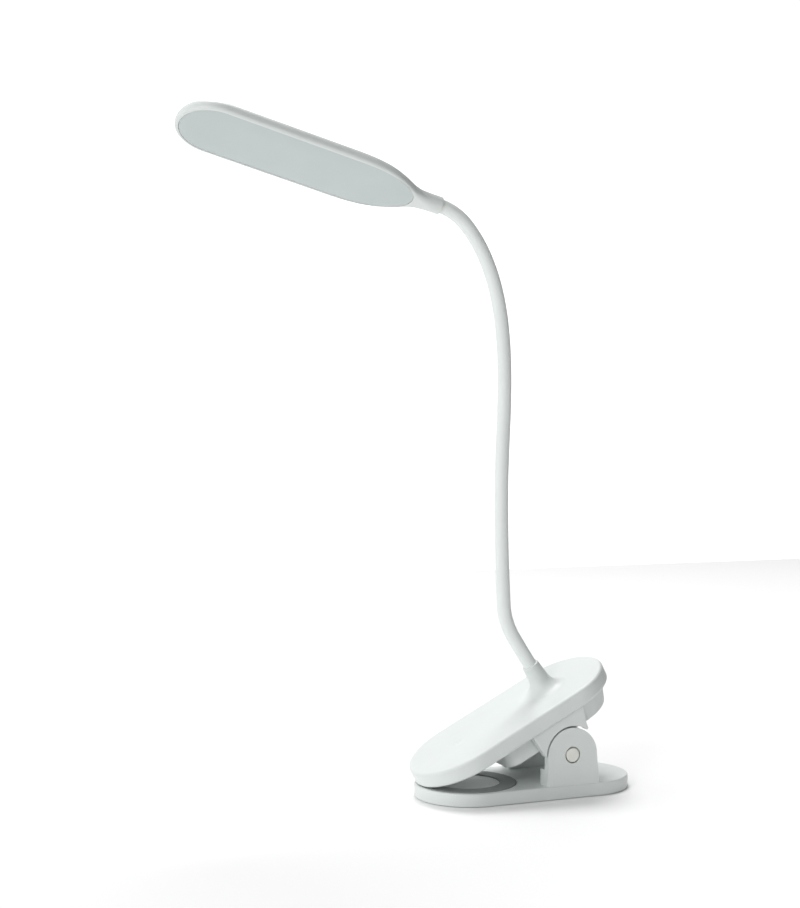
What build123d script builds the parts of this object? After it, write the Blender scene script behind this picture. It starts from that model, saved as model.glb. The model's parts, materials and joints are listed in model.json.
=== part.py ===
from build123d import *
import os
from math import cos, radians, sin

# Clip-on reading lamp.  Millimetres and degrees.
# Origin: centre of the underside, +Z up, +X towards the squeeze end of the clip,
# -X towards the gripping tip and the lamp head.

# ---- lower jaw (base) ----
BASE_LENGTH = 129.6
BASE_WIDTH = 60.0
BASE_TOP = 7.6
BASE_EDGE = 0.9
FOOT_PROUD = 0.3
FOOT_THICK = 1.4
BASE_WALL = 2.0
COVER_THICK = 2.1
PAD_CENTRE_X = -34.8
PAD_OUTER_R = 27.8
PAD_INNER_R = 18.6
PAD_RECESS = 0.9
PAD_PROUD = 0.35
PAD_GAP = 0.4
DISC_SUNK = 0.35
POST_R = 3.0

# ---- clamp hinge ----
PIN_X = 17.0
PIN_Z = 24.4
PIN_R = 3.0
PIN_HEAD_R = 4.1
PIN_HEAD_GAP = 0.65
PIN_HEAD_SET = 0.2
PIN_HEAD_THICK = 1.7
RUNNING_CLEARANCE = 0.06
EAR_R = 15.3
EAR_OUTER_Y = 29.5
EAR_INNER_Y = 25.0
EAR_FOOT_FRONT_X = 1.2
EAR_FOOT_REAR_X = 34.0
GUSSET_INNER_Y = 20.0
GUSSET_TOP_Z = 16.4
LUG_INNER_Y = 18.4
LUG_OUTER_Y = 24.0
LUG_R = 7.0
SPRING_WIRE = 1.8
SPRING_MEAN_R = 5.0
SPRING_PITCH = 2.1
SPRING_COILS = 6

# ---- upper jaw (body) ----
BODY_TILT = 27.0
BODY_X = -10.64
BODY_Z = 45.0
BODY_LENGTH = 128.7
BODY_WIDTH = 62.4
BODY_DEPTH = 9.2
BODY_WALL = 2.0
BODY_TOP_EDGE = 1.8
BODY_LOW_EDGE = 1.6
PLATE_GAP = 0.1
POD_BOTTOM = -21.0
POD_R = 24.0
POD_FRONT_S = -19.5
POD_WALL = 2.0
POD_CORNER = 8.0
POD_LOW_EDGE = 1.2
POD_REAR_R = 27.6
POD_SKIRT = 2.0
UPPER_PAD_LENGTH = 36.0
UPPER_PAD_WIDTH = 28.0
UPPER_PAD_SET = 0.8
UPPER_PAD_PROUD = 0.5
UPPER_PAD_GAP = 0.3
CHEEK_GAP = 1.1
UPPER_PAD_S = -38.5
TOUCH_S = -32.6

# ---- gooseneck ----
NECK_ROOT_X = 4.9
NECK_ROOT_Z = 71.9
NECK_ROOT_LEAN = 34.0
NECK_LENGTH = 279.5
NECK_R = 4.0
SLEEVE_BORE_R = 2.65
CORE_R = 2.6
CORE_BORE_R = 1.1
LEAD_R = 0.9
CUP_CLEARANCE = 0.25
NECK_BURIED = 8.0
# Turn of each of the equal arcs of the hose, from the root to the head.
NECK_TURNS = [-2, -29, -1, -1, -1, -2, -1, 2, 3, 5, 8, 11, 15, 34]
BOSS_TOP_R = 4.95
BOSS_LOW_R = 5.9
BOSS_FLARE = 9.0

# ---- lamp head ----
HEAD_ROLL = 18.7
HEAD_THICK = 7.2
HEAD_HALF = 22.0
HEAD_FAR_Q = 132.8
HEAD_NEAR_Q = 54.0
HEAD_NEAR_REACH = 38.8
HEAD_TOP_EDGE = 4.8
HEAD_LOW_EDGE = 1.6
HEAD_WALL = 1.4
DIFFUSER_HALF = 19.75
DIFFUSER_REACH = 36.5
DIFFUSER_SET = 0.15
COLLAR_R = 5.0
COLLAR_N = 3.9
SWIVEL_R = 2.5
SWIVEL_LENGTH = 15.4


def body_frame():
    """Frame of the tilted upper jaw: s along it, h out of its top face."""
    tilt = radians(BODY_TILT)
    return Plane(
        origin=(BODY_X, 0, BODY_Z),
        x_dir=(cos(tilt), 0, sin(tilt)),
        z_dir=(-sin(tilt), 0, cos(tilt)),
    ).location


def neck_frame(x, z, lean):
    """Frame on the hose: local Z runs along the hose, leaning by lean towards -X."""
    a = radians(lean)
    return Plane(origin=(x, 0, z), x_dir=(cos(a), 0, sin(a)), z_dir=(-sin(a), 0, cos(a))).location


def arc_step(x, z, lean, turn, length, part=1.0):
    """Point and lean reached after a part of one arc of the hose."""
    swing = radians(turn) * part
    start = radians(lean)
    radius = length / radians(turn)
    new_x = x + radius * (cos(start + swing) - cos(start))
    new_z = z + radius * (sin(start + swing) - sin(start))
    return new_x, new_z, lean + turn * part


def neck_stations():
    """Every point along the hose where one arc ends and the next begins."""
    stations = [(NECK_ROOT_X, NECK_ROOT_Z, NECK_ROOT_LEAN)]
    for turn in NECK_TURNS:
        x, z, lean = stations[-1]
        stations.append(arc_step(x, z, lean, turn, ARC_LENGTH))
    return stations


ARC_LENGTH = NECK_LENGTH / len(NECK_TURNS)
STATIONS = neck_stations()
BODY = body_frame()
ROOT = neck_frame(*STATIONS[0])
HEAD_X, HEAD_Z, HEAD_LEAN = STATIONS[-1]
HEAD_PITCH = 90 - HEAD_LEAN


def head_frame():
    """Frame of the lamp head: q towards its tip, n up from the diffuser's face."""
    pitch = radians(HEAD_PITCH)
    roll = radians(HEAD_ROLL)
    up = Vector(sin(pitch) * cos(roll), sin(roll), cos(pitch) * cos(roll))
    origin = Vector(HEAD_X, 0, HEAD_Z) - up * COLLAR_N
    return Plane(origin=origin, x_dir=(-cos(pitch), 0, sin(pitch)), z_dir=up).location


HEAD = head_frame()


def body_point(x, z):
    """World x and z as s and h of the upper jaw."""
    tilt = radians(BODY_TILT)
    dx = x - BODY_X
    dz = z - BODY_Z
    return dx * cos(tilt) + dz * sin(tilt), dz * cos(tilt) - dx * sin(tilt)


PIN_S, PIN_H = body_point(PIN_X, PIN_Z)


def slab(length, width, low, high):
    """Upright solid with round ends, between two heights."""
    return Pos(0, 0, low) * extrude(SlotOverall(length, width), high - low)


def block(sketch, low, high):
    return Pos(0, 0, low) * extrude(sketch, high - low)


def rod(radius, low, high, x=0.0, y=0.0):
    return Pos(x, y, low) * extrude(Circle(radius), high - low)


def cross_rod(radius, y_from, y_to, x, z):
    """Round bar along Y."""
    return Pos(x, y_from, z) * Rot(-90, 0, 0) * extrude(Circle(radius), y_to - y_from)


def side_plates(profile, inner_y, outer_y):
    """The same upright plate on both sides of the middle plane."""
    near = extrude(Plane.XZ.offset(inner_y) * profile, outer_y - inner_y)
    return near + mirror(near, about=Plane.XZ)


def save(node, shape):
    """Write one node as a STEP file."""
    solids = shape.solids()
    whole = solids[0] if len(solids) == 1 else Compound(children=list(solids))
    whole.label = node
    export_step(whole, f"parts/{node}.step")
    print(f"{node}: {len(solids)} solid(s), {sum(s.volume for s in solids):.1f} mm3")


def screw(head_r, head_h, shank_r, shank_h):
    """Pan-head screw: the head from 0 up, the shank above it."""
    recess = block(Rectangle(head_r * 1.1, head_r * 0.25), 0, head_h * 0.5)
    recess += block(Rectangle(head_r * 0.25, head_r * 1.1), 0, head_h * 0.5)
    head = rod(head_r, 0, head_h)
    return head + rod(shank_r, head_h, head_h + shank_h) - recess


# ---------------------------------------------------------------- lower jaw

BASE_UNDER = FOOT_PROUD
COVER_TOP = BASE_UNDER + COVER_THICK
BASE_CEILING = BASE_TOP - BASE_WALL
RECESS_FLOOR = BASE_TOP - PAD_RECESS
BASE_SCREW_SPOTS = [(-50, 0), (-14, 22), (-14, -22), (50, 0)]
BASE_SCREW_R = 1.1
BASE_SCREW_HEAD_R = 2.0
PIN_SEAT_Y = EAR_OUTER_Y - PIN_HEAD_THICK - PIN_HEAD_SET


def ear_profile():
    """Outline of one hinge ear in the XZ plane: a foot that rises into a round top."""
    foot_z = BASE_TOP - 1.0
    front = Line((EAR_FOOT_FRONT_X, foot_z), (PIN_X - EAR_R, PIN_Z))
    top = ThreePointArc((PIN_X - EAR_R, PIN_Z), (PIN_X, PIN_Z + EAR_R), (PIN_X + EAR_R, PIN_Z))
    rear = Line((PIN_X + EAR_R, PIN_Z), (EAR_FOOT_REAR_X, foot_z))
    foot = Line((EAR_FOOT_REAR_X, foot_z), (EAR_FOOT_FRONT_X, foot_z))
    return make_face([front, top, rear, foot])


def gusset_profile():
    """Outline of the low step inside each ear, which carries the ear's foot."""
    low = BASE_TOP - 1.0
    front = EAR_FOOT_FRONT_X + 0.3
    rear = EAR_FOOT_REAR_X - 1.0
    return make_face(Polyline((front, low), (front, GUSSET_TOP_Z), (rear, GUSSET_TOP_Z), (rear, low), close=True))


def make_base_shell():
    shell = slab(BASE_LENGTH, BASE_WIDTH, BASE_UNDER, BASE_TOP)
    rims = shell.edges().group_by(Axis.Z)
    shell = fillet(rims[-1], BASE_EDGE)
    shell = fillet(shell.edges().group_by(Axis.Z)[0], BASE_EDGE / 2)
    inside_length = BASE_LENGTH - 2 * BASE_WALL
    inside_width = BASE_WIDTH - 2 * BASE_WALL
    shell -= slab(inside_length, inside_width, BASE_UNDER, BASE_CEILING)
    shell += side_plates(ear_profile(), EAR_INNER_Y, EAR_OUTER_Y)
    shell += side_plates(gusset_profile(), GUSSET_INNER_Y, EAR_INNER_Y)
    shell -= rod(PAD_OUTER_R + PAD_GAP, RECESS_FLOOR, BASE_TOP, PAD_CENTRE_X)
    for x, y in BASE_SCREW_SPOTS:
        shell += rod(POST_R, COVER_TOP, BASE_CEILING, x, y)
        shell -= rod(BASE_SCREW_R, COVER_TOP, BASE_CEILING - 0.4, x, y)
    shell -= cross_rod(PIN_R, -EAR_OUTER_Y - 1, EAR_OUTER_Y + 1, PIN_X, PIN_Z)
    seat = cross_rod(PIN_HEAD_R + PIN_HEAD_GAP, PIN_SEAT_Y, EAR_OUTER_Y + 1, PIN_X, PIN_Z)
    return shell - seat - mirror(seat, about=Plane.XZ)


def make_base_weight():
    """Steel plate that keeps the lamp standing, cut away round the screw posts."""
    plate = slab(BASE_LENGTH - 2 * BASE_WALL - 1, BASE_WIDTH - 2 * BASE_WALL - 1, COVER_TOP, BASE_CEILING - 0.1)
    for x, y in BASE_SCREW_SPOTS:
        plate -= rod(POST_R + 0.3, COVER_TOP - 1, BASE_CEILING, x, y)
    return plate


def make_base_cover():
    """Thin lid of the lower jaw, recessed below for the foot pad."""
    length = BASE_LENGTH - 2 * BASE_WALL - 0.2
    width = BASE_WIDTH - 2 * BASE_WALL - 0.2
    cover = slab(length, width, BASE_UNDER, COVER_TOP)
    cover -= slab(length - 3, width - 3, BASE_UNDER, FOOT_THICK)
    for x, y in BASE_SCREW_SPOTS:
        cover -= rod(BASE_SCREW_R, 0, COVER_TOP, x, y)
        cover -= rod(BASE_SCREW_HEAD_R, 0, FOOT_THICK + 0.3, x, y)
    return cover


def make_foot_pad():
    """Anti-slip pad under the lamp; it stands a little proud and carries the lamp."""
    length = BASE_LENGTH - 2 * BASE_WALL - 3.4
    width = BASE_WIDTH - 2 * BASE_WALL - 3.4
    pad = slab(length, width, 0, FOOT_THICK)
    return fillet(pad.edges().group_by(Axis.Z)[0], 0.3)


def make_base_screws():
    one = screw(BASE_SCREW_HEAD_R - 0.1, 0.3, BASE_SCREW_R, BASE_CEILING - 0.5 - FOOT_THICK - 0.3)
    return Compound(children=[Pos(x, y, FOOT_THICK) * one for x, y in BASE_SCREW_SPOTS])


def make_jaw_ring():
    ring = rod(PAD_OUTER_R, RECESS_FLOOR, BASE_TOP + PAD_PROUD, PAD_CENTRE_X)
    ring -= rod(PAD_INNER_R, RECESS_FLOOR, BASE_TOP + 1, PAD_CENTRE_X)
    return fillet(ring.edges().group_by(Axis.Z)[-1], 0.25)


def make_jaw_disc():
    return rod(PAD_INNER_R - PAD_GAP, RECESS_FLOOR, BASE_TOP - DISC_SUNK, PAD_CENTRE_X)


# ---------------------------------------------------------------- clamp hinge


def make_hinge_pin():
    """Steel pin with its round head on the near side."""
    pin = cross_rod(PIN_R, -PIN_SEAT_Y, PIN_SEAT_Y, PIN_X, PIN_Z)
    head = cross_rod(PIN_HEAD_R, -PIN_SEAT_Y - PIN_HEAD_THICK, -PIN_SEAT_Y, PIN_X, PIN_Z)
    return fillet(head.edges().group_by(Axis.Y)[0], 0.35) + pin


def make_pin_cap():
    """Push-on cap that keeps the pin in on the far side."""
    cap = cross_rod(PIN_HEAD_R, PIN_SEAT_Y, PIN_SEAT_Y + PIN_HEAD_THICK, PIN_X, PIN_Z)
    return fillet(cap.edges().group_by(Axis.Y)[-1], 0.35)


def make_spring():
    """Torsion spring round the pin: both legs run back and press the two jaws apart there."""
    low_angle = 20.0
    high_angle = BODY_TILT + 8.0
    low_leg = 26.0
    high_leg = 23.0
    sweep_turn = 180 - low_angle - high_angle + 360 * SPRING_COILS
    rise = SPRING_PITCH * sweep_turn / 360
    start_x = PIN_X - SPRING_MEAN_R * sin(radians(low_angle))
    start_z = PIN_Z - SPRING_MEAN_R * cos(radians(low_angle))
    end_x = PIN_X - SPRING_MEAN_R * sin(radians(high_angle))
    end_z = PIN_Z + SPRING_MEAN_R * cos(radians(high_angle))
    coil = Helix(SPRING_PITCH, rise, SPRING_MEAN_R)
    radial = (-sin(radians(low_angle)), 0, -cos(radians(low_angle)))
    coil = Plane(origin=(PIN_X, -rise / 2, PIN_Z), x_dir=radial, z_dir=(0, 1, 0)).location * coil
    start = coil @ 0
    end = coil @ 1
    low_end = start - (coil % 0) * low_leg
    high_end = end + (coil % 1) * high_leg
    path = Wire([Edge.make_line(low_end, start), *coil.edges(), Edge.make_line(end, high_end)])
    section = Plane(origin=low_end, z_dir=path % 0) * Circle(SPRING_WIRE / 2)
    return sweep(section, path=path)


# ---------------------------------------------------------------- upper jaw

COVER_SCREW_RING = POD_R + 2.6
POD_S = BODY_LENGTH / 2 - BODY_WIDTH / 2
REAR_SCREW_ANGLE = 20.0
COVER_SCREW_SPOTS = [
    (-58.3, 0),
    (-24, 24.5),
    (-24, -24.5),
    (POD_S + COVER_SCREW_RING * cos(radians(REAR_SCREW_ANGLE)), COVER_SCREW_RING * sin(radians(REAR_SCREW_ANGLE))),
    (POD_S + COVER_SCREW_RING * cos(radians(REAR_SCREW_ANGLE)), -COVER_SCREW_RING * sin(radians(REAR_SCREW_ANGLE))),
]
COVER_SCREW_R = 1.1
COVER_SCREW_SHANK = 5.2
COVER_SCREW_HEAD_R = 2.0
COVER_SCREW_HEAD = 1.0
COVER_POST_R = 2.4
CELL_LENGTH = 52.0
CELL_WIDTH = 36.0
CELL_THICK = 9.0
CELL_EDGE = 2.5
CELL_S = 12.0
CELL_H = -14.1
TAB_LENGTH = 1.2
TAB_WIDTH = 18.0
TAB_THICK = 3.0
BOARD_S = 9.5
BOARD_LENGTH = 95.0
BOARD_WIDTH = 28.0
BOARD_SCREW_R = 0.8
BOARD_SCREW_SHANK = 3.8
BOARD_SCREW_HEAD_R = 1.7
BOARD_SCREW_HEAD = 0.5
BOARD_POST_R = 2.0
NUT_HOLE_S = 28.8
NUT_HOLE_R = 9.0
DIMPLE_R = 14.0
DIMPLE_DEEP = 0.45
PIPE_R = 1.1
PIPE_FLANGE_R = 1.7
PIPE_FLANGE = 1.4
BATTERY_LEAD_R = 0.5
PLATE_TOP = -BODY_DEPTH + 2.0
BOARD_LOW = -6.6
BOARD_TOP = -5.4
BOARD_SCREW_SPOTS = [(-34, 11), (-34, -11), (50, 11), (50, -11)]
USB_WIDTH = 8.9
USB_HEIGHT = 3.2
USB_S = BODY_LENGTH / 2 - 0.3
USB_LENGTH = 7.3
NUT_SEAT = -21.2
NUT_THICK = 2.8
SHELL_CUT = 30.0


def in_root(shape):
    """Put a shape made about the hose's root axis in its place."""
    return ROOT * shape


def rings_near(shape, spot):
    """Closed round edges whose middle lies near a spot."""
    return [e for e in shape.edges() if e.is_closed and (e.bounding_box().center() - spot).length < 2.5]


def make_top_shell():
    shell = slab(BODY_LENGTH, BODY_WIDTH, -BODY_DEPTH, 0)
    shell = fillet(shell.edges().group_by(Axis.Z)[-1], BODY_TOP_EDGE)
    shell = fillet(shell.edges().group_by(Axis.Z)[0], BODY_LOW_EDGE)
    shell = BODY * shell
    boss = Pos(0, 0, -SHELL_CUT + 10) * Solid.make_cone(BOSS_LOW_R + 0.6, BOSS_TOP_R, SHELL_CUT - 10)
    shell += in_root(boss)
    foot = (BODY * Pos(28.2, 0, 0)).position
    shell = fillet(rings_near(shell, foot), BOSS_FLARE)
    shell = fillet(rings_near(shell, Vector(NECK_ROOT_X, 0, NECK_ROOT_Z)), 0.5)
    inside = slab(BODY_LENGTH - 2 * BODY_WALL, BODY_WIDTH - 2 * BODY_WALL, -BODY_DEPTH - 1, -BODY_WALL)
    inside = BODY * inside
    inside -= in_root(rod(7.5, NUT_SEAT, -10))
    shell -= inside
    for s, y in COVER_SCREW_SPOTS:
        shell += BODY * rod(COVER_POST_R, PLATE_TOP, -BODY_WALL, s, y)
        shell -= BODY * rod(COVER_SCREW_R, PLATE_TOP - 1, -BODY_WALL - 0.6, s, y)
    for s, y in BOARD_SCREW_SPOTS:
        shell += BODY * rod(BOARD_POST_R, BOARD_TOP, -BODY_WALL, s, y)
        shell -= BODY * rod(BOARD_SCREW_R, BOARD_TOP - 1, -BODY_WALL - 0.4, s, y)
    shell -= in_root(rod(NECK_R, -NECK_BURIED, 1))
    shell -= in_root(rod(3.25, NUT_SEAT - 1, 0))
    usb_slot = SlotOverall(USB_WIDTH + 0.4, USB_HEIGHT + 0.4)
    tunnel = extrude(Plane.YZ.offset(USB_S - USB_LENGTH) * usb_slot, USB_LENGTH + 3)
    shell -= BODY * Pos(0, 0, BOARD_TOP + USB_HEIGHT / 2) * tunnel
    shell -= BODY * Pos(TOUCH_S, 0, DIMPLE_R - DIMPLE_DEEP) * Sphere(DIMPLE_R)
    shell -= BODY * rod(PIPE_R, -BODY_WALL - 1, 1, TOUCH_S, 0)
    return shell


def pod_outline(shrink):
    """Battery housing seen from below: round rear end, straight sides, soft front corners."""
    reach = POD_S - POD_FRONT_S - shrink
    half = POD_R - shrink
    whole = RectangleRounded(2 * reach, 2 * half, POD_CORNER - shrink)
    front = whole & Pos(-reach, 0) * Rectangle(2 * reach, 4 * half)
    return Pos(POD_S, 0) * (front + Circle(half))


def pod_solid():
    """Battery housing without its cavity; its rear end spreads out towards the plate."""
    depth = -BODY_DEPTH - POD_BOTTOM
    middle = (-BODY_DEPTH + POD_BOTTOM) / 2
    housing = block(pod_outline(0), POD_BOTTOM, PLATE_TOP)
    housing = fillet(housing.edges().group_by(Axis.Z)[0], POD_LOW_EDGE)
    rear = Pos(POD_S, 0, middle) * Cone(POD_R, POD_REAR_R, depth)
    rear = fillet(rear.edges().group_by(Axis.Z)[0], POD_LOW_EDGE)
    rear &= Pos(POD_S + BODY_WIDTH / 2 - POD_SKIRT, 0, middle) * Box(BODY_WIDTH, BODY_WIDTH, depth)
    return housing + rear


def cheek_profile():
    """Side cheek of the upper jaw, in s and h, hollowed round the hinge ear."""
    top = -BODY_DEPTH
    outline = Polyline(
        (-1.7, top), (0.2, -23.1), (29.6, -22.9), (30.7, -22.5), (31.1, -18.1), (32.8, -10.8), (32.8, top),
        close=True,
    )
    return make_face(outline) - Pos(PIN_S, PIN_H) * Circle(EAR_R + CHEEK_GAP)


def lug_profile():
    """Hinge lug under the battery housing, round the pin."""
    web = Pos(PIN_S, (PIN_H + POD_BOTTOM + 1) / 2) * Rectangle(2 * LUG_R, POD_BOTTOM + 1 - PIN_H)
    return web + Pos(PIN_S, PIN_H) * Circle(LUG_R) - Pos(PIN_S, PIN_H) * Circle(PIN_R + RUNNING_CLEARANCE)


def make_bottom_cover():
    gap = BODY_WALL + PLATE_GAP
    cover = slab(BODY_LENGTH - 2 * gap, BODY_WIDTH - 2 * gap, -BODY_DEPTH, PLATE_TOP)
    cover += pod_solid()
    cover += side_plates(lug_profile(), LUG_INNER_Y, LUG_OUTER_Y)
    cover += side_plates(cheek_profile(), EAR_INNER_Y, EAR_OUTER_Y)
    cover -= block(pod_outline(POD_WALL), POD_BOTTOM + POD_WALL, PLATE_TOP)
    pad_seat = slab(UPPER_PAD_LENGTH, UPPER_PAD_WIDTH, -BODY_DEPTH, -BODY_DEPTH + UPPER_PAD_SET)
    cover -= Pos(UPPER_PAD_S, 0, 0) * pad_seat
    for s, y in COVER_SCREW_SPOTS:
        cover -= rod(COVER_SCREW_R + 0.05, -BODY_DEPTH, PLATE_TOP, s, y)
        cover -= rod(COVER_SCREW_HEAD_R + 0.1, POD_BOTTOM, -BODY_DEPTH + COVER_SCREW_HEAD, s, y)
    return BODY * cover


def make_upper_pad():
    length = UPPER_PAD_LENGTH - 2 * UPPER_PAD_GAP
    width = UPPER_PAD_WIDTH - 2 * UPPER_PAD_GAP
    pad = slab(length, width, -BODY_DEPTH - UPPER_PAD_PROUD, -BODY_DEPTH + UPPER_PAD_SET)
    return BODY * Pos(UPPER_PAD_S, 0, 0) * pad


def make_cover_screws():
    one = screw(COVER_SCREW_HEAD_R, COVER_SCREW_HEAD, COVER_SCREW_R, COVER_SCREW_SHANK)
    return BODY * Compound(children=[Pos(s, y, -BODY_DEPTH) * one for s, y in COVER_SCREW_SPOTS])


def make_battery():
    """Flat lithium cell lying in the housing."""
    cell = fillet(Box(CELL_LENGTH, CELL_WIDTH, CELL_THICK).edges().filter_by(Axis.X), CELL_EDGE)
    tab = Pos(-(CELL_LENGTH + TAB_LENGTH) / 2, 0, 0) * Box(TAB_LENGTH, TAB_WIDTH, TAB_THICK)
    return BODY * Pos(CELL_S, 0, CELL_H) * (cell + tab)


def make_board():
    """Control board, open round the neck's nut and the rear screw posts."""
    outline = Pos(BOARD_S, 0) * RectangleRounded(BOARD_LENGTH, BOARD_WIDTH, 2)
    outline -= Pos(NUT_HOLE_S, 0) * Circle(NUT_HOLE_R)
    for s, y in BOARD_SCREW_SPOTS:
        outline -= Pos(s, y) * Circle(BOARD_SCREW_R + 0.15)
    for s, y in COVER_SCREW_SPOTS:
        outline -= Pos(s, y) * Circle(COVER_POST_R + 0.3)
    return BODY * block(outline, BOARD_LOW, BOARD_TOP)


def make_board_parts():
    """Chips, coil and capacitors soldered to the board: s, y, length, width, height."""
    parts = [
        (-22, 5, 5.0, 4.0, 1.5), (-22, -5, 3.2, 2.6, 1.1), (-12, 6, 6.4, 5.2, 1.6), (-12, -6, 4.2, 4.2, 2.2),
        (-3, 8, 2.0, 1.2, 0.9), (-3, 4, 2.0, 1.2, 0.9), (-3, -4, 2.0, 1.2, 0.9), (-3, -8, 2.0, 1.2, 0.9),
        (6, 7, 4.9, 3.9, 1.5), (6, -7, 4.9, 3.9, 1.5), (43, 9, 3.0, 1.6, 1.0), (43, -9, 3.0, 1.6, 1.0),
    ]
    return BODY * Compound(children=[Pos(s, y, BOARD_TOP + h / 2) * Box(a, b, h) for s, y, a, b, h in parts])


def make_board_screws():
    one = screw(BOARD_SCREW_HEAD_R, BOARD_SCREW_HEAD, BOARD_SCREW_R, BOARD_SCREW_SHANK)
    return BODY * Compound(children=[Pos(s, y, BOARD_LOW - BOARD_SCREW_HEAD) * one for s, y in BOARD_SCREW_SPOTS])


def make_usb_socket():
    """Charging socket: a thin oval can with its contact tongue."""
    middle = BOARD_TOP + USB_HEIGHT / 2
    start = USB_S - USB_LENGTH
    shell = extrude(Plane.YZ.offset(start) * SlotOverall(USB_WIDTH, USB_HEIGHT), USB_LENGTH)
    hollow = extrude(Plane.YZ.offset(start + 1) * SlotOverall(USB_WIDTH - 0.6, USB_HEIGHT - 0.6), USB_LENGTH)
    tongue = extrude(Plane.YZ.offset(start + 0.5) * Rectangle(6.6, 0.7), USB_LENGTH - 1.4)
    return BODY * Pos(0, 0, middle) * (shell - hollow + tongue)


def make_touch_spring():
    """Spring that carries the touch signal from the board to the inside of the top."""
    wire = 0.5
    low = BOARD_TOP
    high = -BODY_WALL
    coil = Helix(1.0, high - low - wire, 2.6)
    coil = Pos(TOUCH_S, 0, low + wire / 2) * coil
    section = Plane(origin=coil @ 0, z_dir=coil % 0) * Circle(wire / 2)
    return BODY * sweep(section, path=coil)


def make_light_pipe():
    """Clear rod that shows the charge light in the touch dimple."""
    low = -BODY_WALL - PIPE_FLANGE
    return BODY * (rod(PIPE_R, low, -DIMPLE_DEEP, TOUCH_S, 0) + rod(PIPE_FLANGE_R, low, -BODY_WALL, TOUCH_S, 0))


def make_charge_led():
    return BODY * Pos(TOUCH_S, 0, BOARD_TOP + 0.4) * Box(1.6, 1.6, 0.8)


def make_battery_leads():
    """Two short leads from the cell's tab up to the board."""
    leads = []
    for y in (-3.0, 3.0):
        path = ThreePointArc((-14.8, y, -12.42), (-15.7, y, -9.6), (-14.8, y, BOARD_LOW - 0.3))
        section = Plane(origin=path @ 0, z_dir=path % 0) * Circle(BATTERY_LEAD_R)
        leads.append(sweep(section, path=path))
    return BODY * Compound(children=leads)


# ---------------------------------------------------------------- gooseneck

ARCS_PER_LINK = 2
LINKS = len(NECK_TURNS) // ARCS_PER_LINK


def link_stations(link):
    """First and last station of one length of hose; the end lengths are half as long."""
    first = max(0, ARCS_PER_LINK * link - 1)
    last = min(len(NECK_TURNS), ARCS_PER_LINK * link + 1)
    return first, last


def hose_path(first, last, lead_in):
    """Centre line of the hose from one station to another."""
    edges = []
    if lead_in > 0:
        a = radians(NECK_ROOT_LEAN)
        start = (NECK_ROOT_X + lead_in * sin(a), 0, NECK_ROOT_Z - lead_in * cos(a))
        edges.append(Edge.make_line(start, (NECK_ROOT_X, 0, NECK_ROOT_Z)))
    for index in range(first, last):
        x, z, lean = STATIONS[index]
        mid_x, mid_z, _ = arc_step(x, z, lean, NECK_TURNS[index], ARC_LENGTH, 0.5)
        end_x, end_z, _ = STATIONS[index + 1]
        edges.append(Edge.make_three_point_arc((x, 0, z), (mid_x, 0, mid_z), (end_x, 0, end_z)))
    return Wire(edges)


def hose_rod(path, radius):
    section = Plane(origin=path @ 0, z_dir=path % 0) * Circle(radius)
    return sweep(section, path=path)


def ball(station, radius):
    x, z, _ = STATIONS[station]
    return Pos(x, 0, z) * Sphere(radius)


def make_neck_link(link):
    """Sleeve, spring core and leads of one length of hose."""
    first, last = link_stations(link)
    is_root = link == 0
    is_end = last == len(NECK_TURNS)
    path = hose_path(first, last, NECK_BURIED if is_root else 0)
    core_path = hose_path(first, last, 2 * NECK_BURIED if is_root else 0)
    lead_path = hose_path(first, last, 25.6 if is_root else 0)
    sleeve = hose_rod(path, NECK_R)
    if not is_root:
        sleeve += ball(first, NECK_R)
    sleeve -= hose_rod(path, SLEEVE_BORE_R)
    core = hose_rod(core_path, CORE_R) - hose_rod(core_path, CORE_BORE_R)
    leads = hose_rod(lead_path, LEAD_R)
    if is_end:
        flange = HEAD * Pos(-0.6, 0, COLLAR_N) * Rot(0, 90, 0) * extrude(Circle(6), 4)
        sleeve -= flange
        core -= flange
        leads -= flange
    else:
        sleeve -= ball(last, NECK_R + CUP_CLEARANCE)
        core -= ball(last, NECK_R + 0.5)
        leads -= ball(last, NECK_R + 0.5)
    return sleeve, core, leads


def make_root_ferrule():
    """Threaded tube that anchors the hose in the top shell."""
    return in_root(rod(3.25, NUT_SEAT - NUT_THICK - 1.2, -NECK_BURIED) - rod(CORE_R, -30, 0))


def make_neck_nut():
    nut = Pos(0, 0, NUT_SEAT - NUT_THICK) * extrude(RegularPolygon(6.9, 6), NUT_THICK)
    return in_root(nut - rod(3.25, -30, 0))


# ---------------------------------------------------------------- lamp head

def head_outline(half, reach):
    """Half-round far end, straight sides and a long oval near end."""
    far = Pos(HEAD_FAR_Q, 0) * Circle(half)
    near = Pos(HEAD_NEAR_Q, 0) * Ellipse(reach, half)
    middle = Pos((HEAD_FAR_Q + HEAD_NEAR_Q) / 2, 0) * Rectangle(HEAD_FAR_Q - HEAD_NEAR_Q, 2 * half)
    return far + near + middle


def head_rod(radius, q_from, q_to):
    return Pos(q_from, 0, COLLAR_N) * Rot(0, 90, 0) * extrude(Circle(radius), q_to - q_from)


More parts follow.
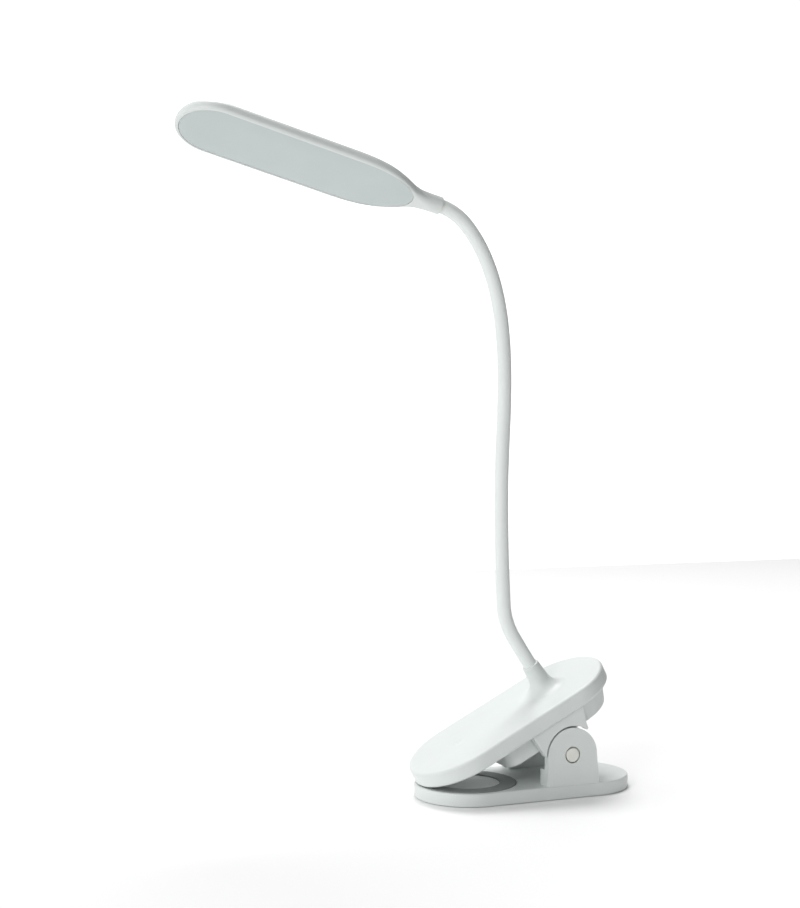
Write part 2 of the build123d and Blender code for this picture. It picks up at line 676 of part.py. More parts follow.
def make_head_shell():
    shell = block(head_outline(HEAD_HALF, HEAD_NEAR_REACH), 0, HEAD_THICK)
    shell = fillet(shell.edges().group_by(Axis.Z)[-1], HEAD_TOP_EDGE)
    shell = fillet(shell.edges().group_by(Axis.Z)[0], HEAD_LOW_EDGE)
    stages = [(0, 5.0, 5.0, 3.9), (6, 5.1, 4.9, 3.9), (14, 6.2, 4.3, 3.8), (22, 9.5, 3.5, 3.6), (30, 13.5, 3.3, 3.5)]
    sections = [Plane(origin=(q, 0, n), x_dir=(0, 1, 0), z_dir=(1, 0, 0)) * Ellipse(w, t) for q, w, t, n in stages]
    shell += loft(sections)
    cavity = block(head_outline(HEAD_HALF - HEAD_WALL, HEAD_NEAR_REACH - HEAD_WALL), HEAD_WALL, HEAD_THICK - HEAD_WALL)
    cavity = fillet(cavity.edges().group_by(Axis.Z)[-1], 2.6)
    shell -= cavity
    shell -= block(head_outline(DIFFUSER_HALF + 0.05, DIFFUSER_REACH + 0.05), -1, HEAD_WALL)
    shell -= head_rod(SWIVEL_R + RUNNING_CLEARANCE, -1, 20)
    shell -= head_rod(3.2, 13.6, 24)
    return HEAD * shell


def make_diffuser():
    """Opal window with a thin snap-in flange behind it."""
    face = block(head_outline(DIFFUSER_HALF, DIFFUSER_REACH), DIFFUSER_SET, HEAD_WALL)
    flange = block(head_outline(DIFFUSER_HALF + 0.7, DIFFUSER_REACH + 0.7), HEAD_WALL, HEAD_WALL + 0.8)
    return HEAD * (face + flange)


BOARD_TAPE = 0.2
LED_BOARD_THICK = 1.0
LED_THICK = 0.7
LED_BOARD_TOP = HEAD_THICK - HEAD_WALL - BOARD_TAPE
LED_BOARD_LOW = LED_BOARD_TOP - LED_BOARD_THICK


def led_board_outline(shrink):
    return Pos(93, 0) * SlotOverall(112 - 2 * shrink, 34 - 2 * shrink)


def make_led_board():
    return HEAD * block(led_board_outline(0), LED_BOARD_LOW, LED_BOARD_TOP)


def make_led_tape():
    """Heat-conducting tape that bonds the board to the top of the head."""
    return HEAD * block(led_board_outline(2), LED_BOARD_TOP, LED_BOARD_TOP + BOARD_TAPE)


def make_leds():
    rows = 3
    columns = 12
    chips = []
    for row in range(rows):
        for column in range(columns):
            q = 49 + 8 * column
            w = 10 * (row - 1)
            chips.append(Pos(q, w, LED_BOARD_LOW - LED_THICK / 2) * Box(3.0, 1.6, LED_THICK))
    return HEAD * Compound(children=chips)


def make_swivel_ferrule():
    """End fitting of the hose, round which the head turns."""
    ferrule = head_rod(NECK_R, -0.6, -0.2) + head_rod(SWIVEL_R, -0.2, SWIVEL_LENGTH)
    groove = head_rod(SWIVEL_R + 1, SWIVEL_LENGTH - 1.4, SWIVEL_LENGTH - 0.6)
    groove -= head_rod(1.9, SWIVEL_LENGTH - 2, SWIVEL_LENGTH)
    return HEAD * (ferrule - groove - head_rod(CORE_BORE_R, -1, SWIVEL_LENGTH + 1))


def make_swivel_clip():
    """Spring clip in the ferrule's groove that holds the head on."""
    clip = head_rod(3.1, SWIVEL_LENGTH - 1.35, SWIVEL_LENGTH - 0.65) - head_rod(1.96, 10, 20)
    clip -= Pos(SWIVEL_LENGTH - 1, 3, COLLAR_N) * Box(4, 4, 1.4)
    return HEAD * clip


def make_head_leads():
    """The two leads on their way from the hose to the light board."""
    leads = [Pos(0, w, LED_BOARD_LOW - 0.5 - COLLAR_N) * head_rod(0.5, SWIVEL_LENGTH + 0.6, 46) for w in (-0.6, 0.6)]
    return HEAD * Compound(children=leads)


# ---------------------------------------------------------------- write the nodes

os.makedirs("parts", exist_ok=True)

NODES = {
    "base_shell": make_base_shell,
    "base_weight": make_base_weight,
    "base_cover": make_base_cover,
    "foot_pad": make_foot_pad,
    "base_screws": make_base_screws,
    "jaw_pad_ring": make_jaw_ring,
    "jaw_pad_disc": make_jaw_disc,
    "hinge_pin": make_hinge_pin,
    "hinge_pin_cap": make_pin_cap,
    "torsion_spring": make_spring,
    "top_shell": make_top_shell,
    "bottom_cover": make_bottom_cover,
    "upper_jaw_pad": make_upper_pad,
    "cover_screws": make_cover_screws,
    "battery_cell": make_battery,
    "battery_leads": make_battery_leads,
    "control_board": make_board,
    "board_components": make_board_parts,
    "board_screws": make_board_screws,
    "usb_socket": make_usb_socket,
    "touch_spring": make_touch_spring,
    "indicator_light_pipe": make_light_pipe,
    "charge_led": make_charge_led,
    "neck_root_ferrule": make_root_ferrule,
    "neck_lock_nut": make_neck_nut,
    "swivel_ferrule": make_swivel_ferrule,
    "swivel_clip": make_swivel_clip,
    "head_shell": make_head_shell,
    "diffuser": make_diffuser,
    "led_board": make_led_board,
    "led_board_tape": make_led_tape,
    "leds": make_leds,
    "head_leads": make_head_leads,
}

for node_name, maker in NODES.items():
    save(node_name, maker())

for link_number in range(LINKS + 1):
    pieces = make_neck_link(link_number)
    for kind, piece in zip(("neck_sleeve", "neck_core", "neck_leads"), pieces):
        save(f"{kind}_{link_number + 1}", piece)

for number, station in enumerate(range(1, len(NECK_TURNS), ARCS_PER_LINK), start=1):
    x, z, lean = STATIONS[station]
    print(f"neck hinge {number}: x {x:.3f} z {z:.3f} lean {lean:.1f}")
print(f"neck end: x {HEAD_X:.3f} z {HEAD_Z:.3f} lean {HEAD_LEAN:.1f}")
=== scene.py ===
import json
import math

import bmesh
import bpy
import numpy as np
from mathutils import Matrix, Vector

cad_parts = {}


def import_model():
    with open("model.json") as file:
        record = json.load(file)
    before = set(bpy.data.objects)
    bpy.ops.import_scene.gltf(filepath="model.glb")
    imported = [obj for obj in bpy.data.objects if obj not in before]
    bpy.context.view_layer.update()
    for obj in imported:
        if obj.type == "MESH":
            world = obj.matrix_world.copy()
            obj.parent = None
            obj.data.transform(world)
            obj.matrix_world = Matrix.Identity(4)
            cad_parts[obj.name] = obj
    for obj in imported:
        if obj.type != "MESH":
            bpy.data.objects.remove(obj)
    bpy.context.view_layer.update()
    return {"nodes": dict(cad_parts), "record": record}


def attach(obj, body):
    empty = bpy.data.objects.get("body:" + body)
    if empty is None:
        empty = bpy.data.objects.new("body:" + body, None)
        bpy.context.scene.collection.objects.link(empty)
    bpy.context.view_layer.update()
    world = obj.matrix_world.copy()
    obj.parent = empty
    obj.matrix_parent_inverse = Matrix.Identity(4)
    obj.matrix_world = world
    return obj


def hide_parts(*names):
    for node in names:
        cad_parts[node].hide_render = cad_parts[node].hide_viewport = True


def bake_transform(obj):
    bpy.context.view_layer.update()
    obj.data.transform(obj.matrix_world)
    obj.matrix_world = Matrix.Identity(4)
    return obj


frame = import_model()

MM = 0.001
RIM_ANGLE = 60
SEAM_ANGLE = 35

# ---- camera ----
CAMERA_AT = (-0.3867, -0.7723, 0.2029)
CAMERA_TURN = 21.93
CAMERA_DIP = 0.65
CAMERA_LENS = 59.47

# ---- light: sky strengths, and where each lamp stands, aims, how wide and how strong ----
SKY_RIGHT = 0.14
SKY_LEFT = 0.98
SKY_BEHIND = 1.3
KEY_LIGHT = {"at": (0.25, 0.9, 2.4), "towards": (0, 0, 0.1), "size": 1.2, "power": 35}
FILL_LIGHT = {"at": (-1.5, -1.2, 0.9), "towards": (0, 0, 0.05), "size": 0.8, "power": 10}
FLOOR_HALF = 1.3
FLOOR_ROUGHNESS = 0.9
FLOOR_DARK = (0.955, 0.955, 0.955)
FLOOR_LIGHT = (0.965, 0.965, 0.965)

# ---- surface patterns, per metre, and the depth of the grain in metres ----
DRIFT_SCALE = 35.0
GLOSS_SCALE = 160.0
FLOOR_SCALE = 3.0
PATTERN_LOW = 0.3
PATTERN_HIGH = 0.7
GLOSS_SPREAD = 0.05
GRAIN_DEPTH = 0.0002

# ---- hose, in millimetres and degrees ----
NECK_LENGTH = 279.5
NECK_R = 4.0
NECK_BURIED = 8.0
NECK_TURNS = [-2, -29, -1, -1, -1, -2, -1, 2, 3, 5, 8, 11, 15, 34]
NECK_ROOT_LEAN = 34.0
NECK_ROOT = (4.9, 71.9)
ARC_LENGTH = NECK_LENGTH / len(NECK_TURNS)
ARCS_PER_BEND = 2
NECK_END_GAP = 0.35
HOSE_STEP = 1.0
HOSE_AROUND = 48

# ---- head, in millimetres in its own frame: q to the tip, w across, n up from the window ----
HEAD_ROLL = 18.7
COLLAR_N = 3.9
HEAD_HALF = 22.0
HEAD_FAR_Q = 132.8
HEAD_NEAR_Q = 54.0
WINDOW_HALF = 19.75
WINDOW_REACH = 36.5
WINDOW_GAP = 0.12
WINDOW_SET = 0.12
WINDOW_TOP = 2.2
WINDOW_EDGE = 0.3
CHAMBER_INSET = 0.9
CHAMBER_TOP = 5.85
OVAL_POINTS = 110

# ---- clamp spring, in millimetres and degrees ----
PIN_AT = np.array([17.0, 0.0, 24.4])
SPRING_WIRE_R = 0.9
SPRING_MEAN_R = 5.0
SPRING_PITCH = 2.1
SPRING_COILS = 6
SPRING_STEP = 7.5
SPRING_AROUND = 16
LOW_LEG = 26.0
HIGH_LEG = 23.0
LOW_ANGLE = 20.0
HIGH_ANGLE = 35.0


def smooth_curve(xs, ys):
    """Monotone cubic through a few points, as a function."""
    xs = np.array(xs, float)
    ys = np.array(ys, float)
    step = np.diff(ys) / np.diff(xs)
    slope = np.zeros(len(xs))
    same_way = step[:-1] * step[1:] > 0
    mean = 2 * step[:-1] * step[1:] / np.where(same_way, step[:-1] + step[1:], 1)
    slope[1:-1] = np.where(same_way, mean, 0)

    def at(x):
        x = np.clip(np.asarray(x, float), xs[0], xs[-1])
        i = np.clip(np.searchsorted(xs, x) - 1, 0, len(xs) - 2)
        width = xs[i + 1] - xs[i]
        t = (x - xs[i]) / width
        near = ys[i] * (1 + 2 * t) * (1 - t) ** 2 + slope[i] * width * t * (1 - t) ** 2
        far = ys[i + 1] * t * t * (3 - 2 * t) + slope[i + 1] * width * t * t * (t - 1)
        return near + far

    return at


def new_object(name, points, faces):
    """A smooth-shaded mesh object from points in metres."""
    mesh = bpy.data.meshes.new(name)
    mesh.from_pydata([tuple(map(float, p)) for p in points], [], faces)
    mesh.validate()
    bm = bmesh.new()
    bm.from_mesh(mesh)
    bmesh.ops.remove_doubles(bm, verts=bm.verts, dist=1e-7)
    bmesh.ops.recalc_face_normals(bm, faces=bm.faces)
    bm.to_mesh(mesh)
    bm.free()
    mesh.polygons.foreach_set("use_smooth", [True] * len(mesh.polygons))
    obj = bpy.data.objects.new(name, mesh)
    bpy.context.scene.collection.objects.link(obj)
    return obj


def ring_faces(rings, count, close_start=True, close_end=True):
    """Quads between rings of equal size, and a cap at each end."""
    faces = []
    for r in range(rings - 1):
        for k in range(count):
            a = r * count + k
            b = r * count + (k + 1) % count
            faces.append((a, b, b + count, a + count))
    if close_start:
        faces.append(tuple(reversed(range(count))))
    if close_end:
        faces.append(tuple(range((rings - 1) * count, rings * count)))
    return faces


# ---------------------------------------------------------------- materials


def shader(name, colour, roughness, metallic=0.0):
    """A new material; returns it with its nodes, its links and its Principled shader."""
    material = bpy.data.materials.new(name)
    material.use_nodes = True
    tree = material.node_tree
    principled = tree.nodes["Principled BSDF"]
    principled.inputs["Base Color"].default_value = (*colour, 1)
    principled.inputs["Roughness"].default_value = roughness
    principled.inputs["Metallic"].default_value = metallic
    return material, tree.nodes, tree.links, principled


def noise(nodes, links, scale, detail=2.0, stretch=(1, 1, 1)):
    """A noise pattern fixed to the piece."""
    where = nodes.new("ShaderNodeTexCoord")
    fit = nodes.new("ShaderNodeMapping")
    fit.inputs["Scale"].default_value = stretch
    links.new(where.outputs["Object"], fit.inputs["Vector"])
    pattern = nodes.new("ShaderNodeTexNoise")
    pattern.inputs["Scale"].default_value = scale
    pattern.inputs["Detail"].default_value = detail
    links.new(fit.outputs["Vector"], pattern.inputs["Vector"])
    return pattern.outputs["Fac"]


def spread(nodes, links, factor, low, high):
    """Maps a pattern's middle range to a range of numbers."""
    span = nodes.new("ShaderNodeMapRange")
    span.inputs["From Min"].default_value = PATTERN_LOW
    span.inputs["From Max"].default_value = PATTERN_HIGH
    span.inputs["To Min"].default_value = low
    span.inputs["To Max"].default_value = high
    links.new(factor, span.inputs["Value"])
    return span.outputs["Result"]


def tint(nodes, links, factor, dark, light):
    """Blends two colours by a pattern."""
    ramp = nodes.new("ShaderNodeValToRGB")
    ramp.color_ramp.elements[0].position = PATTERN_LOW
    ramp.color_ramp.elements[1].position = PATTERN_HIGH
    ramp.color_ramp.elements[0].color = (*dark, 1)
    ramp.color_ramp.elements[1].color = (*light, 1)
    links.new(factor, ramp.inputs["Fac"])
    return ramp.outputs["Color"]


def bump(nodes, links, principled, height, strength):
    """Fine relief on the shader's normal."""
    relief = nodes.new("ShaderNodeBump")
    relief.inputs["Strength"].default_value = strength
    relief.inputs["Distance"].default_value = GRAIN_DEPTH
    links.new(height, relief.inputs["Height"])
    links.new(relief.outputs["Normal"], principled.inputs["Normal"])


def grained(name, colour, roughness, grain, strength, metallic=0.0, drift=0.015, stretch=(1, 1, 1)):
    """Moulded or drawn surface: a slow drift of colour and gloss, and a fine grain."""
    material, nodes, links, principled = shader(name, colour, roughness, metallic)
    slow = noise(nodes, links, DRIFT_SCALE)
    dark = tuple(c * (1 - drift) for c in colour)
    light = tuple(min(1.0, c * (1 + drift)) for c in colour)
    links.new(tint(nodes, links, slow, dark, light), principled.inputs["Base Color"])
    gloss = noise(nodes, links, GLOSS_SCALE, 3.0)
    gloss_range = spread(nodes, links, gloss, roughness - GLOSS_SPREAD, roughness + GLOSS_SPREAD)
    links.new(gloss_range, principled.inputs["Roughness"])
    bump(nodes, links, principled, noise(nodes, links, grain, 2.0, stretch), strength)
    return material


# One finish per material slot: name, colour, roughness, grain per metre, grain strength,
# then, where they differ from plain plastic, metallic, colour drift and stretch of the grain.
MATERIALS = {
    "white_shell": grained("moulded_white", (0.675, 0.715, 0.70), 0.42, 2600, 0.05),
    "white_silicone": grained("silicone_white", (0.745, 0.785, 0.77), 0.52, 1800, 0.015),
    "opal_diffuser": grained("opal_window", (0.51, 0.56, 0.56), 0.38, 3000, 0.03),
    "pad_dark": grained("grip_ring_rubber", (0.26, 0.28, 0.275), 0.68, 1500, 0.2),
    "pad_light": grained("grip_disc_rubber", (0.78, 0.82, 0.81), 0.6, 1500, 0.12),
    "foot_grey": grained("foot_rubber", (0.36, 0.37, 0.37), 0.75, 1200, 0.25),
    "nickel_steel": grained("satin_nickel", (0.66, 0.66, 0.62), 0.34, 900, 0.12, 1.0, 0.03, (1, 1, 6)),
    "spring_steel": grained("spring_wire", (0.42, 0.42, 0.43), 0.32, 700, 0.1, 1.0),
    "zinc_steel": grained("zinc_plate", (0.62, 0.63, 0.66), 0.38, 700, 0.1, 1.0, 0.05),
    "brass_fitting": grained("turned_brass", (0.72, 0.55, 0.28), 0.3, 900, 0.12, 1.0, 0.03, (1, 1, 8)),
    "cell_wrap": grained("cell_foil", (0.60, 0.62, 0.64), 0.3, 400, 0.2, 0.8),
    "board_green": grained("solder_mask", (0.03, 0.19, 0.09), 0.3, 900, 0.08),
    "board_white": grained("white_mask", (0.80, 0.81, 0.79), 0.3, 900, 0.05),
    "chip_black": grained("chip_epoxy", (0.035, 0.035, 0.04), 0.55, 2500, 0.2),
    "led_yellow": grained("led_phosphor", (0.85, 0.74, 0.30), 0.35, 2500, 0.1),
    "clear_pipe": grained("clear_acrylic", (0.80, 0.84, 0.84), 0.15, 2500, 0.02),
    "lead_black": grained("lead_black_pvc", (0.03, 0.03, 0.033), 0.5, 1500, 0.1),
    "lead_red": grained("lead_red_pvc", (0.45, 0.03, 0.025), 0.5, 1500, 0.1),
    "tape_grey": grained("thermal_tape", (0.50, 0.51, 0.50), 0.8, 1500, 0.3),
}


def finish_piece(piece, slot):
    """Gives a piece the finish of one of the record's material slots."""
    piece.data.materials.clear()
    piece.data.materials.append(MATERIALS[slot])


# ---------------------------------------------------------------- frames


def hose_stations():
    """Point and lean where each arc of the hose begins, and where the last one ends."""
    stations = [(*NECK_ROOT, NECK_ROOT_LEAN)]
    for turn in NECK_TURNS:
        stations.append(along_arc(*stations[-1], turn, 1.0))
    return stations


def along_arc(x, z, lean, turn, part):
    """Point and lean reached after a part of one arc."""
    start = math.radians(lean)
    swing = math.radians(turn) * part
    radius = ARC_LENGTH / math.radians(turn)
    new_x = x + radius * (math.cos(start + swing) - math.cos(start))
    new_z = z + radius * (math.sin(start + swing) - math.sin(start))
    return new_x, new_z, lean + turn * part


STATIONS = hose_stations()


def head_matrix():
    """Places the head's own frame, in millimetres, in the row frame."""
    x, z, lean = STATIONS[-1]
    pitch = math.radians(90 - lean)
    roll = math.radians(HEAD_ROLL)
    along = Vector((-math.cos(pitch), 0, math.sin(pitch)))
    up = Vector((math.sin(pitch) * math.cos(roll), math.sin(roll), math.cos(pitch) * math.cos(roll)))
    across = up.cross(along)
    origin = (Vector((x, 0, z)) - up * COLLAR_N) * MM
    turn = Matrix((along, across, up)).transposed().to_4x4()
    return Matrix.Translation(origin) @ turn @ Matrix.Scale(MM, 4)


HEAD = np.array(head_matrix())


def in_head(points):
    """Points (q, w, n) in millimetres to row frame metres."""
    points = np.asarray(points, float)
    return points @ HEAD[:3, :3].T + HEAD[:3, 3]


# ---------------------------------------------------------------- hose


def before(station, distance):
    """Point and lean a little before a station, straight back along the hose."""
    x, z, lean = station
    a = math.radians(lean)
    return x + distance * math.sin(a), z - distance * math.cos(a), lean


def hose_points(first, last):
    """Centre points and leans along the hose, from one station to another."""
    spots = [before(STATIONS[0], NECK_BURIED)] if first == 0 else []
    per_arc = round(ARC_LENGTH / HOSE_STEP)
    for index in range(first, last):
        start = STATIONS[index]
        spots += [along_arc(*start, NECK_TURNS[index], k / per_arc) for k in range(per_arc)]
    whole = last == len(NECK_TURNS)
    return spots + [before(STATIONS[last], NECK_END_GAP if whole else 0)]


def make_hose():
    """Smooth silicone sleeve, one piece over each bend of the chain inside it."""
    turns = np.linspace(0, 2 * math.pi, HOSE_AROUND, endpoint=False)
    bends = len(NECK_TURNS) // ARCS_PER_BEND
    for bend in range(1, bends + 1):
        last = ARCS_PER_BEND * bend
        first = last - ARCS_PER_BEND
        spots = hose_points(first, last)
        points = []
        for x, z, lean in spots:
            a = math.radians(lean)
            side = np.array([math.cos(a), 0, math.sin(a)])
            ring = np.outer(np.cos(turns), side) + np.outer(np.sin(turns), [0, 1, 0])
            points.append(np.array([x, 0, z]) + NECK_R * ring)
        faces = ring_faces(len(spots), HOSE_AROUND)
        piece = new_object(f"hose_skin_{bend}", np.concatenate(points) * MM, faces)
        sharpen(piece, RIM_ANGLE)
        finish_piece(piece, "white_silicone")
        replaced = [f"neck_sleeve_{bend}"] + ([f"neck_sleeve_{bend + 1}"] if bend == bends else [])
        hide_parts(*replaced)
        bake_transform(piece)


def sharpen(obj, angle):
    """Marks edges sharper than an angle, so that flat faces and rims shade apart."""
    obj.data.set_sharp_from_angle(angle=math.radians(angle))


# ---------------------------------------------------------------- spring


def make_spring():
    """Torsion spring round the pin, built in its rest shape."""
    sweep = 180 - LOW_ANGLE - HIGH_ANGLE + 360 * SPRING_COILS
    rise = SPRING_PITCH * sweep / 360
    low = math.radians(LOW_ANGLE)
    radial = np.array([-math.sin(low), 0, -math.cos(low)])
    onward = np.array([-math.cos(low), 0, math.sin(low)])
    turns = np.radians(np.linspace(0, sweep, round(sweep / SPRING_STEP)))
    heights = np.linspace(-rise / 2, rise / 2, len(turns))
    coil = PIN_AT + SPRING_MEAN_R * (np.outer(np.cos(turns), radial) + np.outer(np.sin(turns), onward))
    coil[:, 1] += heights
    last = turns[-1]
    leaving = math.cos(last) * onward - math.sin(last) * radial
    path = np.concatenate([[coil[0] - LOW_LEG * onward], coil, [coil[-1] + HIGH_LEG * leaving]])
    ahead = np.gradient(path, axis=0)
    ahead[1] = onward
    ahead[-2] = leaving
    ahead /= np.linalg.norm(ahead, axis=1)[:, None]
    side = np.cross(ahead, [0, 1, 0])
    side /= np.linalg.norm(side, axis=1)[:, None]
    over = np.cross(side, ahead)
    rings = []
    for turn in np.linspace(0, 2 * math.pi, SPRING_AROUND, endpoint=False):
        rings.append(path + SPRING_WIRE_R * (math.cos(turn) * side + math.sin(turn) * over))
    points = np.stack(rings, axis=1).reshape(-1, 3)
    spring = new_object("spring_wire", points * MM, ring_faces(len(path), SPRING_AROUND))
    sharpen(spring, RIM_ANGLE)
    finish_piece(spring, "spring_steel")
    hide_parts("torsion_spring")
    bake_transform(spring)


# ---------------------------------------------------------------- head

HALF_WIDTH = smooth_curve(
    (0, 6, 12, 17, 22, 28, 34, 41, 50, 60), (5.0, 5.1, 5.9, 7.9, 11.2, 15.1, 18.0, 20.2, 21.6, 22.0)
)
TOP_N = smooth_curve((0, 6, 14, 22, 32), (8.9, 8.8, 8.2, 7.6, 7.2))
LOW_N = smooth_curve((0, 5, 10, 16), (-1.1, -1.0, -0.5, 0.0))
TOP_ROUND = smooth_curve((0, 8, 20), (5.0, 4.95, 4.8))
LOW_ROUND = smooth_curve((0, 5, 12, 24), (5.0, 4.7, 3.2, 1.6))


def head_section(q, across):
    """One closed section of the head at q: top from side to side, then back below."""
    beyond = max(0.0, q - HEAD_FAR_Q)
    half = math.sqrt(max(0.0, HEAD_HALF**2 - beyond**2)) if beyond else float(HALF_WIDTH(q))
    w = half * np.sin(across)
    if beyond:
        inset = HEAD_HALF - np.hypot(beyond, w)
    else:
        slope = float(HALF_WIDTH(q + 0.5) - HALF_WIDTH(q - 0.5))
        inset = (half - np.abs(w)) / math.hypot(1, slope)
    top_r, low_r = float(TOP_ROUND(q)), float(LOW_ROUND(q))
    top_in = np.clip(top_r - inset, 0, top_r)
    low_in = np.clip(low_r - inset, 0, low_r)
    top = float(TOP_N(q)) - top_r + np.sqrt(top_r**2 - top_in**2)
    low = float(LOW_N(q)) + low_r - np.sqrt(low_r**2 - low_in**2)
    q_all = np.full(len(w), q)
    upper = np.column_stack([q_all, w, top])
    lower = np.column_stack([q_all, w, low])[::-1]
    return np.concatenate([upper, lower])


def oval(grow):
    """The window's outline, grown: round far end, straight sides, long oval near end."""
    half = WINDOW_HALF + grow
    reach = WINDOW_REACH + grow
    far = np.linspace(-math.pi / 2, math.pi / 2, OVAL_POINTS)
    near = np.linspace(math.pi / 2, 3 * math.pi / 2, OVAL_POINTS)
    far_end = np.column_stack([HEAD_FAR_Q + half * np.cos(far), half * np.sin(far)])
    near_end = np.column_stack([HEAD_NEAR_Q + reach * np.cos(near), half * np.sin(near)])
    return np.concatenate([far_end, near_end])


def shrink(outline, inset):
    """The outline moved inwards by a distance."""
    ahead = np.roll(outline, -1, axis=0) - np.roll(outline, 1, axis=0)
    ahead /= np.linalg.norm(ahead, axis=1)[:, None]
    inward = np.column_stack([-ahead[:, 1], ahead[:, 0]])
    return outline + inset * inward


def plate_points(outline, profile):
    """Rings of a flat plate: from the middle line of one face round its edge to the other's."""
    middle_q = np.clip(outline[:, 0], HEAD_NEAR_Q, HEAD_FAR_Q)
    spine = np.column_stack([middle_q, np.zeros(len(outline))])
    edge = [(shrink(outline, inset), height) for inset, height in profile]
    low_ring, low = edge[0]
    high_ring, high = edge[-1]
    low_face = [(spine + share * (low_ring - spine), low) for share in (0.0, 0.5)]
    high_face = [(spine + share * (high_ring - spine), high) for share in (0.5, 0.0)]
    rings = low_face + edge + high_face
    return [np.column_stack([ring, np.full(len(ring), height)]) for ring, height in rings]


def rounded_edge(radius, low, high, steps=5):
    """Profile of a plate with both edges rounded, from the low face to the high face."""
    turn = np.linspace(0, math.pi / 2, steps)
    under = [(radius * (1 - math.sin(t)), low + radius * (1 - math.cos(t))) for t in turn]
    over = [(radius * (1 - math.cos(t)), high - radius * (1 - math.sin(t))) for t in turn]
    return under + over


def plate(name, outline, profile):
    """Flat plate in the head's frame, with the given edge profile."""
    rings = plate_points(outline, profile)
    faces = ring_faces(len(rings), len(outline), False, False)
    return new_object(name, in_head(np.concatenate(rings)), faces)


def cut(obj, tool):
    """Takes the tool's shape out of the object and removes the tool."""
    trim = obj.modifiers.new("cut", "BOOLEAN")
    trim.operation = "DIFFERENCE"
    trim.solver = "EXACT"
    trim.object = tool
    bpy.context.view_layer.update()
    done = bpy.data.meshes.new_from_object(obj.evaluated_get(bpy.context.evaluated_depsgraph_get()))
    obj.modifiers.remove(trim)
    obj.data = done
    bpy.data.objects.remove(tool)


def make_head():
    """Head casing with its flared collar, hollow behind the window."""
    across = np.linspace(-math.pi / 2, math.pi / 2, 49)
    near = np.linspace(0, 60, 61)
    middle = np.linspace(62, HEAD_FAR_Q, 22)
    far = HEAD_FAR_Q + HEAD_HALF * np.sin(np.linspace(0.05, math.pi / 2, 34))
    stations = np.concatenate([near, middle, far])
    points = np.concatenate([head_section(float(q), across) for q in stations])
    faces = ring_faces(len(stations), 2 * len(across), True, False)
    head = new_object("head_casing", in_head(points), faces)
    cut(head, plate("opening", oval(WINDOW_GAP), [(0, -1.0), (0, 2.4)]))
    cut(head, plate("chamber", oval(-CHAMBER_INSET), [(0, 2.0), (0, CHAMBER_TOP)]))
    sharpen(head, SEAM_ANGLE)
    finish_piece(head, "white_shell")
    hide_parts("head_shell")
    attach(head, "head")


def make_window():
    """Frosted window with a small rounded edge."""
    pane = plate("window_pane", oval(0), rounded_edge(WINDOW_EDGE, WINDOW_SET, WINDOW_TOP))
    finish_piece(pane, "opal_diffuser")
    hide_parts("diffuser")
    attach(pane, "head")


# ---------------------------------------------------------------- CAD nodes kept as they are


def dress_cad_nodes():
    """Every CAD node that stays takes the finish of its slot."""
    slots = {row["node"]: row["material_slot"] for row in frame["record"]["subparts"]}
    for name, node in frame["nodes"].items():
        finish_piece(node, slots[name])


# ---------------------------------------------------------------- stage


def make_camera():
    """Camera of the main view."""
    data = bpy.data.cameras.new("camera")
    data.lens = CAMERA_LENS
    data.sensor_width = 36
    camera = bpy.data.objects.new("camera", data)
    camera.location = CAMERA_AT
    camera.rotation_euler = (math.radians(90 - CAMERA_DIP), 0, -math.radians(CAMERA_TURN))
    bpy.context.scene.collection.objects.link(camera)
    bpy.context.scene.camera = camera


def make_floor():
    """Plain pale floor under the lamp."""
    corners = [(FLOOR_HALF * x, FLOOR_HALF * y, 0) for x, y in ((-1, -1), (1, -1), (1, 1), (-1, 1))]
    floor = new_object("floor", corners, [(0, 1, 2, 3)])
    material, nodes, links, principled = shader("floor_paper", FLOOR_LIGHT, FLOOR_ROUGHNESS)
    shade = tint(nodes, links, noise(nodes, links, FLOOR_SCALE), FLOOR_DARK, FLOOR_LIGHT)
    links.new(shade, principled.inputs["Base Color"])
    floor.data.materials.append(material)


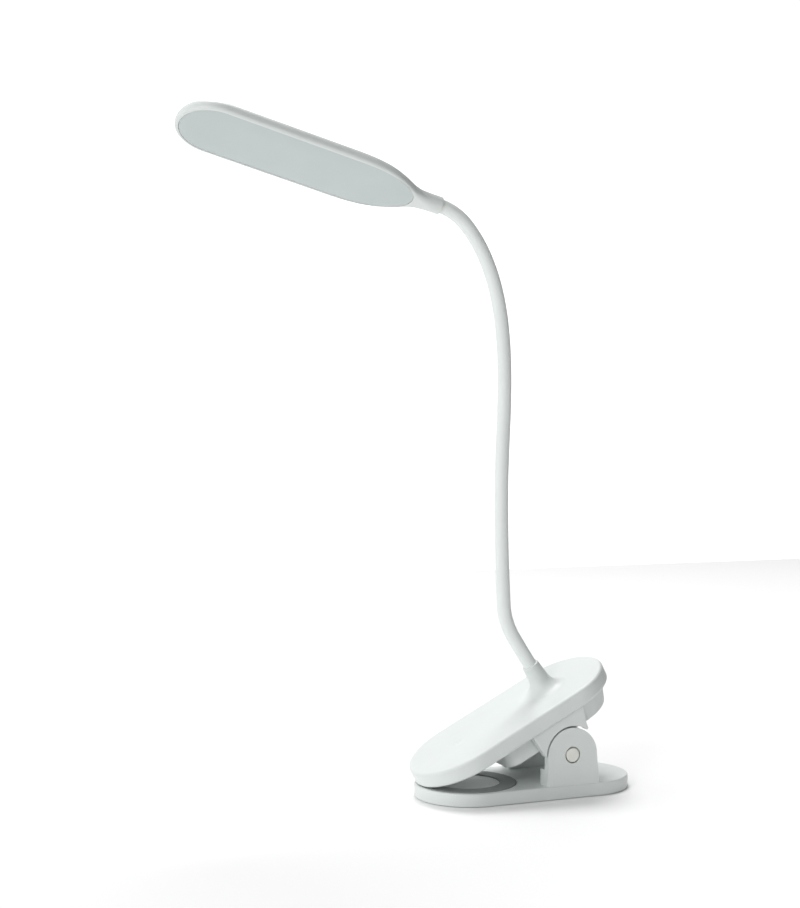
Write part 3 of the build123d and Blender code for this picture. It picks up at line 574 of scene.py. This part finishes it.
def soft_light(name, at, towards, size, power):
    """Round area lamp in metres and watts."""
    data = bpy.data.lights.new(name, "AREA")
    data.shape = "DISK"
    data.size = size
    data.energy = power
    light = bpy.data.objects.new(name, data)
    light.location = at
    aim = Vector(towards) - Vector(at)
    light.rotation_euler = aim.to_track_quat("-Z", "Y").to_euler()
    bpy.context.scene.collection.objects.link(light)


def make_world():
    """White studio: bright behind the lamp and to the left, dimmer to the right and the front."""
    world = bpy.data.worlds.new("studio")
    bpy.context.scene.world = world
    world.use_nodes = True
    nodes, links = world.node_tree.nodes, world.node_tree.links
    sky = nodes["Background"]
    where = nodes.new("ShaderNodeTexCoord")
    turn = math.radians(CAMERA_TURN)

    def facing(direction, start, end, low, high):
        """Brightness by how far a direction points one way."""
        dot = nodes.new("ShaderNodeVectorMath")
        dot.operation = "DOT_PRODUCT"
        dot.inputs[1].default_value = direction
        links.new(where.outputs["Generated"], dot.inputs[0])
        span = nodes.new("ShaderNodeMapRange")
        span.interpolation_type = "SMOOTHSTEP"
        span.inputs["From Min"].default_value = start
        span.inputs["From Max"].default_value = end
        span.inputs["To Min"].default_value = low
        span.inputs["To Max"].default_value = high
        links.new(dot.outputs["Value"], span.inputs["Value"])
        return span.outputs["Result"]

    left = facing((-math.cos(turn), math.sin(turn), 0.25), -0.3, 0.8, SKY_RIGHT, SKY_LEFT)
    behind = facing((math.sin(turn), math.cos(turn), 0), 0.86, 0.94, 0.0, 1.0)
    pick = nodes.new("ShaderNodeMix")
    pick.data_type = "FLOAT"
    links.new(behind, pick.inputs["Factor"])
    links.new(left, pick.inputs["A"])
    pick.inputs["B"].default_value = SKY_BEHIND
    links.new(pick.outputs["Result"], sky.inputs["Strength"])
    sky.inputs["Color"].default_value = (1, 1, 1, 1)


def make_stage():
    """Floor, sky and lamps."""
    make_floor()
    make_world()
    soft_light("key", **KEY_LIGHT)
    soft_light("fill", **FILL_LIGHT)
    bpy.context.scene.view_settings.view_transform = "Standard"


make_camera()
dress_cad_nodes()
make_hose()
make_spring()
make_head()
make_window()
make_stage()
